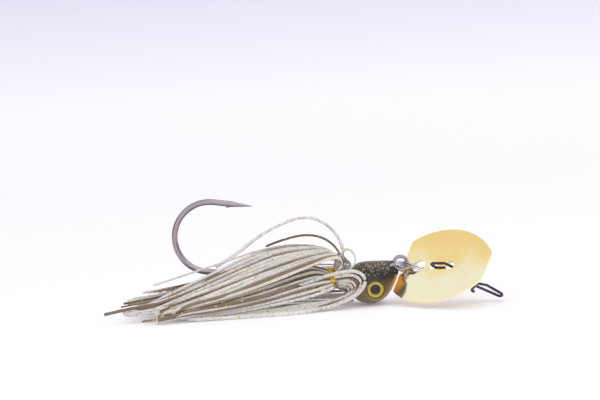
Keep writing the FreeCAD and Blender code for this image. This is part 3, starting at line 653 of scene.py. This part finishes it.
# colour, how far in from the fall's outermost ribbon, half width
OVER_TOP_RIBBONS = [
    ("cream", 0.00, 0.48), ("brown", 0.10, 0.44), ("pearl", 0.20, 0.50), ("pearl", 0.31, 0.46),
    ("brown", 0.40, 0.34), ("pearl", 0.48, 0.50), ("cream", 0.57, 0.40), ("pearl", 0.66, 0.50),
    ("brown", 0.74, 0.38), ("pearl", 0.82, 0.46), ("pearl", 0.90, 0.46), ("brown", 0.95, 0.34),
    ("pearl", 1.02, 0.40)]
STRAIGHT_BACK_RIBBONS = [
    ("brown", 0.00, 0.34), ("cream", 0.11, 0.50), ("brown", 0.21, 0.34), ("pearl", 0.33, 0.50),
    ("brown", 0.46, 0.56), ("pearl", 0.60, 0.48), ("brown", 0.71, 0.30), ("pearl", 0.82, 0.46),
    ("pearl", 1.00, 0.44)]
LOOPED_RIBBONS = [
    ("pearl", 0.26, 0.44), ("brown", 0.44, 0.26), ("pearl", 0.60, 0.42), ("cream", 0.80, 0.42),
    ("pearl", 1.00, 0.46)]
# one clear ribbon curls up by itself, one comes up from below and folds over the cheek, one crosses
# the hook's bend, one lies out on the table, and the longest brown one ends last of all
CURL = [(9.0, -1.6, 10.5), (10.0, -2.4, 13.8), (11.6, -2.8, 15.7), (13.6, -3.2, 14.8),
        (14.2, -3.9, 12.2), (12.5, -4.6, 10.2)]
RISING = [(-28.0, -11.0, 3.0), (-14.0, -9.0, 4.5), (-5.0, -7.5, 6.0), (1.5, -5.8, 7.4), (6.0, -4.4, 8.7)]
OVER_BEND = [(8.2, 0.6, 9.6), (9.0, 0.4, 13.4), (5.0, 0.0, 16.2), (-3.0, -1.0, 17.2), (-12.0, -2.4, 16.4),
             (-19.0, -3.6, 14.4), (-30.0, -5.6, 11.6), (-40.0, -7.0, 9.0)]
LOW_EDGE = [(6.0, -7.6, 1.0), (3.0, -9.8, 0.6), (-2.0, -11.6, 0.3), (-11.0, -12.8, 0.3),
            (-20.0, -13.6, 0.3), (-31.0, -14.0, 0.4)]
TAIL_TIP = [(-14.0, -5.4, 6.8), (-24.0, -7.2, 5.4), (-33.0, -8.8, 4.7), (-41.0, -10.4, 4.2),
            (-47.0, -11.4, 3.6), (-53.0, -12.2, 2.6)]
LONE_RIBBONS = [("pearl", CURL, 0.34), ("pearl", RISING + LOOPED[0][1:], 0.50), ("pearl", OVER_BEND, 0.30),
                ("pearl", LOW_EDGE, 0.50), ("brown", TAIL_TIP, 0.45)]
# how far brown ribbons stand proud, how round the bundle is, and how far a ribbon wanders per place
BROWN_PROUD, BELLY, WANDER_OUT, WANDER_UP = 0.35, 1.3, 0.08, 0.10
UPRIGHT = Vector((0, 0.1, 1))


def near_ribbons(colour):
    """Half width, route and own dice of each outer ribbon of one colour on the near side."""
    fallen = []
    falls = ((OVER_TOP, OVER_TOP_RIBBONS), (STRAIGHT_BACK, STRAIGHT_BACK_RIBBONS), (LOOPED, LOOPED_RIBBONS))
    for number, ((outermost, innermost), ribbons) in enumerate(falls):
        for shade, share, half_width in ribbons:
            dice = random.Random(round(share * 100) + number * 1000)
            route = [Vector(a).lerp(Vector(b), share) for a, b in zip(outermost, innermost)]
            if ribbons is not LOOPED_RIBBONS:
                proud = BELLY * 4 * share * (1 - share) + (BROWN_PROUD if shade == "brown" else 0.0)
                for place in route[3:]:
                    place.y -= proud
            # a ribbon wanders more the further it is from the tie
            for i, place in enumerate(route[2:]):
                place.y += dice.uniform(-WANDER_OUT, WANDER_OUT) * i
                place.z = max(place.z + dice.uniform(-WANDER_UP, WANDER_UP) * i, LOWEST_NEAR)
            route[-1].x += dice.uniform(-2.0, 6.0)
            if shade == colour:
                fallen.append((half_width, route, dice))
    for number, (shade, route, half_width) in enumerate(LONE_RIBBONS):
        if shade == colour:
            fallen.append((half_width, [Vector(place) for place in route], random.Random(number)))
    return fallen


def add_ribbon(whole, tone, value, points, across, twist, width):
    """Adds one ribbon to a group, with its own shade."""
    single = bmesh.new()
    ribbon(single, points, across, twist, width)
    mesh = bpy.data.meshes.new("strand")
    single.to_mesh(mesh)
    single.free()
    count = len(whole.verts)
    whole.from_mesh(mesh)
    whole.verts.ensure_lookup_table()
    for vertex in whole.verts[count:]:
        vertex[tone] = value
    bpy.data.meshes.remove(mesh)


groups = {}
for layer in (0, 1):
    for index in range(STRANDS_PER_LAYER):
        colour = ("pearl", "brown", "pearl", "cream")[(index + layer) % 4]
        side = "near" if index < STRANDS_PER_LAYER / 2 else "far"
        raised = layer and index in (0, STRANDS_PER_LAYER - 1)
        name = ("raised_strand_" + side) if raised else "skirt_%s_%s" % (colour, side)
        groups.setdefault(name, (colour, []))[1].append((layer, index))
for name, (colour, members) in groups.items():
    whole = bmesh.new()
    tone = whole.verts.layers.float.new("ribbon_tone")
    raised = name.startswith("raised")
    laid = name.endswith("near") and not raised
    for layer, index in members:
        for k in range(1 if raised else RIBBONS_PER_STRAND):
            dice = random.Random(index * 31 + layer * 7 + k)
            offset = 0.0 if raised else (k - 0.5) * 0.5
            points, angle = strand_points(index, layer, offset, dice)
            if laid:
                # only the half behind the tie: the near side's outer ribbons are its front half
                points = points[len(FRONT):]
            slim = (RAISED_BROWN_SLIM if raised else BROWN_SLIM) if colour == "brown" else 1.0
            width = RIBBON_HALF_WIDTH * dice.uniform(0.8, 1.15) * slim
            twist = dice.uniform(-0.9, 0.9)
            across = UPRIGHT if raised else Vector((0, -math.cos(angle), -math.sin(angle)))
            add_ribbon(whole, tone, dice.random(), points, across, twist, width)
    if laid:
        for width, route, dice in near_ribbons(colour):
            add_ribbon(whole, tone, dice.random(), route, UPRIGHT, dice.uniform(-0.5, 0.5), width)
    rubber = SILICONE["clear" if raised and colour == "pearl" else colour]
    piece = finish_mesh(name.replace("skirt_", "ribbons_") + "_silicone", whole, rubber, 0)
    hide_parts(name)
    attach(piece, "jig")
